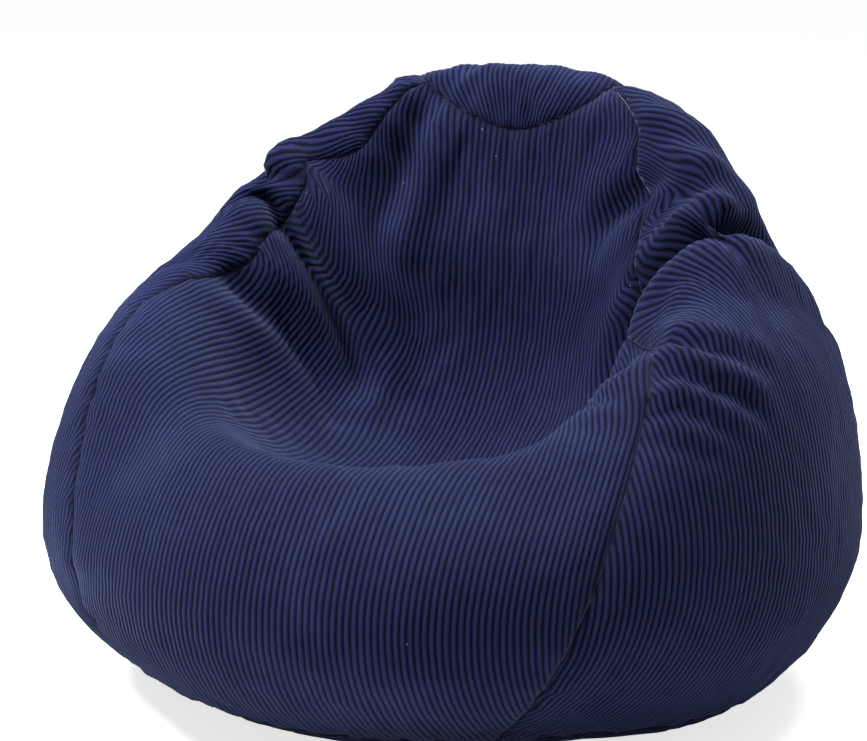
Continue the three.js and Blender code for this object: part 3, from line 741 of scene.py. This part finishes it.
def makeBaseHalf(name, side, inset, lines, steps, relief, cut):
    ys, slot = lines
    keep = np.ones((len(ys), len(steps)), bool)
    inSlot = (slot - ys) * side > 1e-5
    keep[np.ix_(inSlot, np.abs(steps) < cut["slotEnd"] - 1e-5)] = False
    return makeRound(name, steps, ys, baseReach, baseStation, True, inset, relief, keep)


def baseSteps(step, cut):
    reach, end = baseEdges["reach"], cut["slotEnd"]
    outer = np.arange(end, reach + step, step)
    return np.concatenate([-outer[::-1], np.linspace(-end, end, int(2 * end / step))[1:-1], outer])


# Ribs are pressed flat where the chair stands on them
def ribInset(station):
    return baseEdges["flattened"] * np.clip((1 - station) / 0.1, 0, 1)


for name, node, side in (
    ("corduroy_base_front", "base_front_half", -1), ("corduroy_base_rear", "base_rear_half", 1),
):
    lines, steps = baseHalfLines(side, baseCut, ribLines), baseSteps(corduroy["rowStep"], baseCut)
    piece = makeBaseHalf(name, side, ribInset, lines, steps, True, baseCut)
    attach(piece, "chair")
    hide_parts(node)
print("cap and base made")

# Liner: thin plain cloth just inside the cover's folds, and the beads inside it
linerCut = {
    "inset": 0.0042, "thickness": 0.0004, "baseHeight": 0.0088, "spacing": 0.012,
    "baseShare": 0.32, "zipY": -0.060, "slotEnd": 0.1403,
}
fillCut = {
    "inset": 0.0085, "baseHeight": 0.0132, "columns": 260, "rows": 170, "bump": 0.0006, "seed": 11,
}


# Inset that grows from the wall's to the height over the floor once past the base seam
def insetOver(wall, base):
    def inset(station):
        share = np.clip((1 - station) / linerCut["baseShare"], 0, 1)
        return wall + (base - wall) * share
    return inset


def evenLines(low, high):
    count = max(2, int((high - low) / linerCut["spacing"]))
    return np.linspace(low, high, count)


linerInset = insetOver(linerCut["inset"], linerCut["baseHeight"])
linerPieces = []
for gore, node in zip(gores, ("liner_front", "liner_left_side", "liner_back", "liner_right_side")):
    name = gore["name"].replace("corduroy", "plain_liner")
    piece = makeGore(gore, linerCut["inset"], evenLines, linerCut["spacing"], False, name)
    linerPieces.append((piece, node))
capEven = evenLines(-capReach, capReach)
piece = makeRound(
    "plain_liner_cap", capEven, capEven, lambda a: np.full_like(a, capReach),
    capStation, False, linerInset, False,
)
linerPieces.append((piece, "liner_cap"))
for name, node, side in (
    ("plain_liner_base_front", "liner_base_front_half", -1),
    ("plain_liner_base_rear", "liner_base_rear_half", 1),
):
    lines, steps = baseHalfLines(side, linerCut, evenLines), baseSteps(linerCut["spacing"], linerCut)
    piece = makeBaseHalf(name, side, linerInset, lines, steps, False, linerCut)
    linerPieces.append((piece, node))
for piece, node in linerPieces:
    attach(piece, "chair")
    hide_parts(node)


def makeFill():
    degrees, stations = np.meshgrid(
        np.linspace(0, 360, fillCut["columns"] + 1), np.linspace(0, 3, fillCut["rows"] + 1)
    )
    inset = insetOver(fillCut["inset"], fillCut["baseHeight"])(stations)
    rng = np.random.default_rng(fillCut["seed"])
    bumps = rng.uniform(-fillCut["bump"], fillCut["bump"], stations.shape)
    bumps[:, -1] = bumps[:, 0]
    bumps[0], bumps[-1] = 0, 0
    points = raised(False, degrees, stations, bumps - inset)
    points[0], points[-1] = points[0].mean(0), points[-1].mean(0)
    return sheetObject("bead_filling", points, degrees / 360, stations, np.zeros_like(stations))


filling = makeFill()
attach(filling, "chair")
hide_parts("bead_fill")
print("liner and filling made")


# Small helpers for materials: an input is a value, or an output to link
def setInputs(tree, node, inputs):
    for key, value in inputs.items():
        if isinstance(value, bpy.types.NodeSocket):
            tree.links.new(value, node.inputs[key])
        else:
            node.inputs[key].default_value = value
    return node


def addNode(tree, kind, inputs=None, **settings):
    node = tree.nodes.new(kind)
    for key, value in settings.items():
        setattr(node, key, value)
    return setInputs(tree, node, inputs or {})


def addGroup(tree, group, inputs):
    return addNode(tree, "ShaderNodeGroup", inputs, node_tree=group)


def mathNode(tree, operation, a, b=0.0, clamp=False):
    node = addNode(tree, "ShaderNodeMath", operation=operation, use_clamp=clamp)
    return setInputs(tree, node, {0: a, 1: b}).outputs[0]


def mixColour(tree, factor, a, b, blend="MIX"):
    node = addNode(tree, "ShaderNodeMix", data_type="RGBA", blend_type=blend)
    return setInputs(tree, node, {0: factor, 6: a, 7: b}).outputs[2]


def mapRange(tree, value, fromLow, fromHigh, toLow, toHigh):
    inputs = {0: value, 1: fromLow, 2: fromHigh, 3: toLow, 4: toHigh}
    return addNode(tree, "ShaderNodeMapRange", inputs).outputs[0]


def addBump(tree, shader, height, strength, distance):
    inputs = {"Height": height, "Strength": strength, "Distance": distance}
    tree.links.new(addNode(tree, "ShaderNodeBump", inputs).outputs[0], shader.inputs["Normal"])


def newMaterial(name):
    material = bpy.data.materials.new(name)
    material.use_nodes = True
    shader = material.node_tree.nodes["Principled BSDF"]
    return material, material.node_tree, shader


def newGroup(name, inputs, outputs):
    group = bpy.data.node_groups.new(name, "ShaderNodeTree")
    for label, kind, default in inputs:
        socket = group.interface.new_socket(label, in_out="INPUT", socket_type=kind)
        if default is not None:
            socket.default_value = default
    for label, kind in outputs:
        group.interface.new_socket(label, in_out="OUTPUT", socket_type=kind)
    return group, group.nodes.new("NodeGroupInput"), group.nodes.new("NodeGroupOutput")


# Loose fibres: fine grain, longer streaks and broad patches, which the corduroy uses for painted sheen
def clothFibres():
    group, given, put = newGroup(
        "clothFibres",
        [("Cloth", "NodeSocketVector", None), ("Place", "NodeSocketVector", None),
         ("Grain", "NodeSocketFloat", 2200.0), ("Patch", "NodeSocketFloat", 9.0)],
        [("Grain", "NodeSocketFloat"), ("Streak", "NodeSocketFloat"), ("Patch", "NodeSocketFloat")],
    )
    grain = addNode(group, "ShaderNodeTexNoise", {
        "Vector": given.outputs["Place"], "Scale": given.outputs["Grain"], "Detail": 3.0,
        "Roughness": 0.6,
    })
    stretch = addNode(group, "ShaderNodeMapping", {
        "Vector": given.outputs["Cloth"], "Scale": (700.0, 60.0, 1.0),
    })
    streak = addNode(group, "ShaderNodeTexNoise", {
        "Vector": stretch.outputs[0], "Scale": 1.0, "Detail": 4.0, "Roughness": 0.62,
    })
    patch = addNode(group, "ShaderNodeTexNoise", {
        "Vector": given.outputs["Place"], "Scale": given.outputs["Patch"], "Detail": 5.0,
        "Roughness": 0.55, "Distortion": 0.4,
    })
    for label, node in (("Grain", grain), ("Streak", streak), ("Patch", patch)):
        group.links.new(node.outputs[0], put.inputs[label])
    return group


# Stray bits of lint caught in the pile
def lintSpecks():
    group, given, put = newGroup(
        "lintSpecks",
        [("Place", "NodeSocketVector", None), ("Density", "NodeSocketFloat", 55.0)],
        [("Mask", "NodeSocketFloat")],
    )
    cells = addNode(group, "ShaderNodeTexVoronoi", {
        "Vector": given.outputs["Place"], "Scale": given.outputs["Density"], "Randomness": 1.0,
    })
    tint = addNode(group, "ShaderNodeSeparateColor", {"Color": cells.outputs["Color"]})
    rare = mathNode(group, "GREATER_THAN", tint.outputs[0], 0.86)
    size = mathNode(group, "MULTIPLY", tint.outputs[1], 0.055)
    dot = mathNode(group, "LESS_THAN", cells.outputs["Distance"], size)
    group.links.new(mathNode(group, "MULTIPLY", rare, dot), put.inputs["Mask"])
    return group


fibreGroup = clothFibres()
lintGroup = lintSpecks()


# Navy pile: painted shade makes it dark between the ribs and down their sides, blue and soft on their
# crowns, where patches of painted sheen lighten it
# the colours for the rib hollows and rib sides are painted shade; the patch colour on the crowns is
# painted sheen
corduroyLook = {
    "grooveShade": (0.0002, 0.0003, 0.0026, 1), "flankShade": (0.0024, 0.0036, 0.0210, 1),
    "crown": (0.0098, 0.0132, 0.0500, 1), "paintedSheen": (0.0180, 0.0245, 0.0760, 1),
    "lint": (0.20, 0.22, 0.32, 1), "sheenTint": (0.46, 0.56, 1.0, 1), "sheen": 0.13,
    "sheenRoughness": 0.42, "bump": 0.5,
}


def makeCorduroy():
    look = corduroyLook
    material, tree, shader = newMaterial("navy_corduroy")
    cloth = addNode(tree, "ShaderNodeUVMap", uv_map="cloth").outputs[0]
    place = addNode(tree, "ShaderNodeTexCoord").outputs["Object"]
    split = addNode(tree, "ShaderNodeSeparateXYZ", {0: cloth})
    turns = mathNode(tree, "MULTIPLY", split.outputs[0], 1 / corduroy["pitch"])
    half = mathNode(tree, "MULTIPLY", mathNode(tree, "FRACT", turns), math.pi)
    crown = mathNode(tree, "SINE", half)
    fibres = addGroup(tree, fibreGroup, {"Cloth": cloth, "Place": place, "Grain": 1500.0, "Patch": 7.0})
    # painted shade: the colour darkens from the crowns down the rib sides into the hollows between ribs
    ramp = addNode(tree, "ShaderNodeValToRGB", {0: crown})
    ramp.color_ramp.elements[0].color = look["grooveShade"]
    ramp.color_ramp.elements[0].position = 0.12
    ramp.color_ramp.elements[1].color = look["crown"]
    middle = ramp.color_ramp.elements.new(0.55)
    middle.color = look["flankShade"]
    # painted sheen: broad patches lighten the rib crowns towards a paler blue
    paintedSheen = mathNode(tree, "SUBTRACT", fibres.outputs["Patch"], 0.46, True)
    paintedSheen = mathNode(tree, "MULTIPLY", paintedSheen, 2.2, True)
    paintedSheen = mathNode(tree, "MULTIPLY", paintedSheen, crown)
    colour = mixColour(tree, paintedSheen, ramp.outputs[0], look["paintedSheen"])
    streak = mapRange(tree, fibres.outputs["Streak"], 0.3, 0.7, 0.72, 1.25)
    grey = addNode(tree, "ShaderNodeCombineColor", {k: streak for k in range(3)})
    colour = mixColour(tree, 1.0, colour, grey.outputs[0], "MULTIPLY")
    # painted shade: darker towards the seams, where the cloth dives in
    seam = addNode(tree, "ShaderNodeAttribute", attribute_name="seamCloseness")
    dark = mathNode(tree, "MULTIPLY", seam.outputs["Fac"], 0.45)
    colour = mixColour(tree, dark, colour, look["grooveShade"])
    lint = addGroup(tree, lintGroup, {"Place": place, "Density": 60.0})
    colour = mixColour(tree, mathNode(tree, "MULTIPLY", lint.outputs[0], 0.55), colour, look["lint"])
    tree.links.new(colour, shader.inputs["Base Color"])
    rough = mapRange(tree, fibres.outputs["Grain"], 0.0, 1.0, 0.82, 0.98)
    tree.links.new(rough, shader.inputs["Roughness"])
    height = mathNode(tree, "MULTIPLY", fibres.outputs["Streak"], 0.6)
    height = mathNode(tree, "ADD", height, fibres.outputs["Grain"])
    addBump(tree, shader, height, look["bump"], 0.0005)
    shader.inputs["Sheen Weight"].default_value = look["sheen"]
    shader.inputs["Sheen Roughness"].default_value = look["sheenRoughness"]
    shader.inputs["Sheen Tint"].default_value = look["sheenTint"]
    shader.inputs["Specular IOR Level"].default_value = 0.07
    return material


corduroyMaterial = makeCorduroy()
for name in [o.name for o in scene.objects if o.name.startswith("corduroy")]:
    piece = bpy.data.objects[name]
    piece.data.materials.clear()
    piece.data.materials.append(corduroyMaterial)
    wall = piece.modifiers.new("cloth thickness", "SOLIDIFY")
    wall.thickness = corduroy["thickness"]
    wall.offset = 1 if "base" in piece.name else -1


# Plain weave for liner and tapes: threads over and under along the cloth's own directions
def wovenThreads():
    group, given, put = newGroup(
        "wovenThreads",
        [("Cloth", "NodeSocketVector", None), ("Threads", "NodeSocketFloat", 2000.0)],
        [("Height", "NodeSocketFloat"), ("Gap", "NodeSocketFloat")],
    )
    split = addNode(group, "ShaderNodeSeparateXYZ", {0: given.outputs["Cloth"]})
    waves = []
    for axis in range(2):
        turns = mathNode(group, "MULTIPLY", split.outputs[axis], given.outputs["Threads"])
        waves.append(mathNode(group, "SINE", mathNode(group, "MULTIPLY", turns, math.pi)))
    over = mathNode(group, "MULTIPLY", waves[0], waves[1])
    level = mathNode(group, "ADD", mathNode(group, "MULTIPLY", over, 0.5), 0.5)
    group.links.new(level, put.inputs["Height"])
    edge = mathNode(group, "ABSOLUTE", over)
    group.links.new(mathNode(group, "LESS_THAN", edge, 0.12), put.inputs["Gap"])
    return group


wovenGroup = wovenThreads()


def makeWoven(name, colour, threads, usesUv, roughness=0.85):
    material, tree, shader = newMaterial(name)
    place = addNode(tree, "ShaderNodeTexCoord").outputs["Object"]
    cloth = addNode(tree, "ShaderNodeUVMap", uv_map="cloth").outputs[0] if usesUv else place
    woven = addGroup(tree, wovenGroup, {"Cloth": cloth, "Threads": threads})
    fibres = addGroup(tree, fibreGroup, {"Cloth": cloth, "Place": place, "Grain": 1800.0, "Patch": 12.0})
    # painted shade: the cloth is darker where the threads dip under each other
    dark = tuple(c * 0.72 for c in colour[:3]) + (1,)
    base = mixColour(tree, woven.outputs["Height"], dark, colour)
    worn = tuple(min(1, c * 1.12) for c in colour[:3]) + (1,)
    base = mixColour(tree, fibres.outputs["Patch"], base, worn)
    tree.links.new(base, shader.inputs["Base Color"])
    rough = mapRange(tree, fibres.outputs["Grain"], 0.0, 1.0, roughness - 0.1, roughness + 0.1)
    tree.links.new(rough, shader.inputs["Roughness"])
    addBump(tree, shader, woven.outputs["Height"], 0.6, 0.0002)
    shader.inputs["Sheen Weight"].default_value = 0.1
    return material


# Moulded or cast: fine grain, and paler where hands and runners rub it
def makeHard(name, colour, metallic, roughness):
    material, tree, shader = newMaterial(name)
    place = addNode(tree, "ShaderNodeTexCoord").outputs["Object"]
    fibres = addGroup(tree, fibreGroup, {"Cloth": place, "Place": place, "Grain": 900.0, "Patch": 160.0})
    pale = tuple(min(1, c * 1.6 + 0.03) for c in colour[:3]) + (1,)
    rub = mathNode(tree, "SUBTRACT", fibres.outputs["Patch"], 0.52, True)
    rub = mathNode(tree, "MULTIPLY", rub, 2.5, True)
    tree.links.new(mixColour(tree, rub, colour, pale), shader.inputs["Base Color"])
    rough = mapRange(tree, fibres.outputs["Grain"], 0.0, 1.0, roughness - 0.08, roughness + 0.12)
    tree.links.new(rough, shader.inputs["Roughness"])
    shader.inputs["Metallic"].default_value = metallic
    addBump(tree, shader, fibres.outputs["Grain"], 0.2, 0.0001)
    return material


def makeBeads():
    material, tree, shader = newMaterial("foam_beads")
    place = addNode(tree, "ShaderNodeTexCoord").outputs["Object"]
    beads = {"Vector": place, "Scale": 260.0}
    cells = addNode(tree, "ShaderNodeTexVoronoi", beads, feature="SMOOTH_F1")
    fibres = addGroup(tree, fibreGroup, {"Cloth": place, "Place": place, "Grain": 3000.0, "Patch": 20.0})
    # painted shade: each bead is pale in its middle and darker where it meets its neighbours
    shade = mapRange(tree, cells.outputs["Distance"], 0.25, 0.75, 0.0, 1.0)
    colour = mixColour(tree, shade, (0.90, 0.90, 0.88, 1), (0.40, 0.40, 0.41, 1))
    dusty = mathNode(tree, "MULTIPLY", fibres.outputs["Patch"], 0.2)
    colour = mixColour(tree, dusty, colour, (0.82, 0.82, 0.80, 1))
    tree.links.new(colour, shader.inputs["Base Color"])
    bulge = mapRange(tree, cells.outputs["Distance"], 0.0, 1.0, 1.0, 0.0)
    addBump(tree, shader, bulge, 1.0, 0.002)
    shader.inputs["Roughness"].default_value = 0.75
    return material


def dress(piece, material):
    piece.data.materials.clear()
    piece.data.materials.append(material)


linerMaterial = makeWoven("liner_polyester", (0.80, 0.79, 0.75, 1), 1400.0, True)
for piece, node in linerPieces:
    dress(piece, linerMaterial)
    wall = piece.modifiers.new("cloth thickness", "SOLIDIFY")
    wall.thickness = linerCut["thickness"]
    wall.offset = 1 if "base" in piece.name else -1
dress(filling, makeBeads())
nodeLooks = [
    (("cover_zip_tape_front", "cover_zip_tape_rear"),
     makeWoven("navy_zip_tape", (0.011, 0.015, 0.050, 1), 1600.0, False)),
    (("liner_zip_tape_front", "liner_zip_tape_rear"),
     makeWoven("white_zip_tape", (0.72, 0.71, 0.66, 1), 1600.0, False)),
    (("cover_zip_teeth_front", "cover_zip_teeth_rear"),
     makeHard("navy_zip_teeth", (0.017, 0.022, 0.070, 1), 0.0, 0.38)),
    (("liner_zip_teeth_front", "liner_zip_teeth_rear"),
     makeHard("white_zip_teeth", (0.76, 0.75, 0.71, 1), 0.0, 0.40)),
    (("cover_zip_stop_closed", "cover_zip_stop_open", "liner_zip_stop_closed", "liner_zip_stop_open",
      "cover_zip_slider", "cover_zip_pull", "liner_zip_slider"),
     makeHard("dark_die_casting", (0.10, 0.105, 0.125, 1), 1.0, 0.34)),
    (("care_label",), makeWoven("blank_satin_label", (0.86, 0.86, 0.84, 1), 1200.0, False, 0.5)),
]
for names, material in nodeLooks:
    for name in names:
        dress(frame["nodes"][name], material)

# Floor and light: the camera sees a bright backdrop, which lights the chair only softly
studio = {
    "floor": (0.88, 0.88, 0.88, 1), "floorGlow": 0.84, "world": (1, 1, 1, 1),
    "seen": 1.0, "lighting": 0.26,
    "lights": [
        {"name": "key", "azimuth": -46, "elevation": 56, "distance": 2.6, "size": 1.1, "power": 155},
        {"name": "top", "azimuth": 150, "elevation": 68, "distance": 2.6, "size": 1.6, "power": 105},
    ],
}


def makeFloor():
    bm = bmesh.new()
    bmesh.ops.create_grid(bm, x_segments=1, y_segments=1, size=30)
    mesh = bpy.data.meshes.new("floor")
    bm.to_mesh(mesh)
    bm.free()
    floor = bpy.data.objects.new("floor", mesh)
    scene.collection.objects.link(floor)
    material, tree, shader = newMaterial("pale_floor")
    place = addNode(tree, "ShaderNodeTexCoord").outputs["Object"]
    noise = addNode(tree, "ShaderNodeTexNoise", {"Vector": place, "Scale": 30.0, "Detail": 3.0})
    pale = tuple(c * 0.985 for c in studio["floor"][:3]) + (1,)
    colour = mixColour(tree, noise.outputs[0], studio["floor"], pale)
    tree.links.new(colour, shader.inputs["Base Color"])
    shader.inputs["Roughness"].default_value = 0.9
    shader.inputs["Emission Color"].default_value = studio["floor"]
    seen = addNode(tree, "ShaderNodeLightPath").outputs["Is Camera Ray"]
    glow = mathNode(tree, "MULTIPLY", seen, studio["floorGlow"])
    tree.links.new(glow, shader.inputs["Emission Strength"])
    mesh.materials.append(material)


def makeLights():
    world = bpy.data.worlds.new("studio")
    world.use_nodes = True
    back = world.node_tree.nodes["Background"]
    back.inputs[0].default_value = studio["world"]
    tree = world.node_tree
    seen = addNode(tree, "ShaderNodeLightPath").outputs["Is Camera Ray"]
    strength = mapRange(tree, seen, 0.0, 1.0, studio["lighting"], studio["seen"])
    tree.links.new(strength, back.inputs[1])
    scene.world = world
    for spec in studio["lights"]:
        away = outwards(spec["azimuth"], spec["elevation"])
        data = bpy.data.lights.new(spec["name"], "AREA")
        data.shape = "DISK"
        data.size = spec["size"]
        data.energy = spec["power"]
        light = bpy.data.objects.new(spec["name"], data)
        scene.collection.objects.link(light)
        light.location = Vector(cameraView["target"]) + away * spec["distance"]
        light.rotation_euler = away.to_track_quat("Z", "Y").to_euler()


makeFloor()
makeLights()
scene.view_settings.view_transform = "Standard"
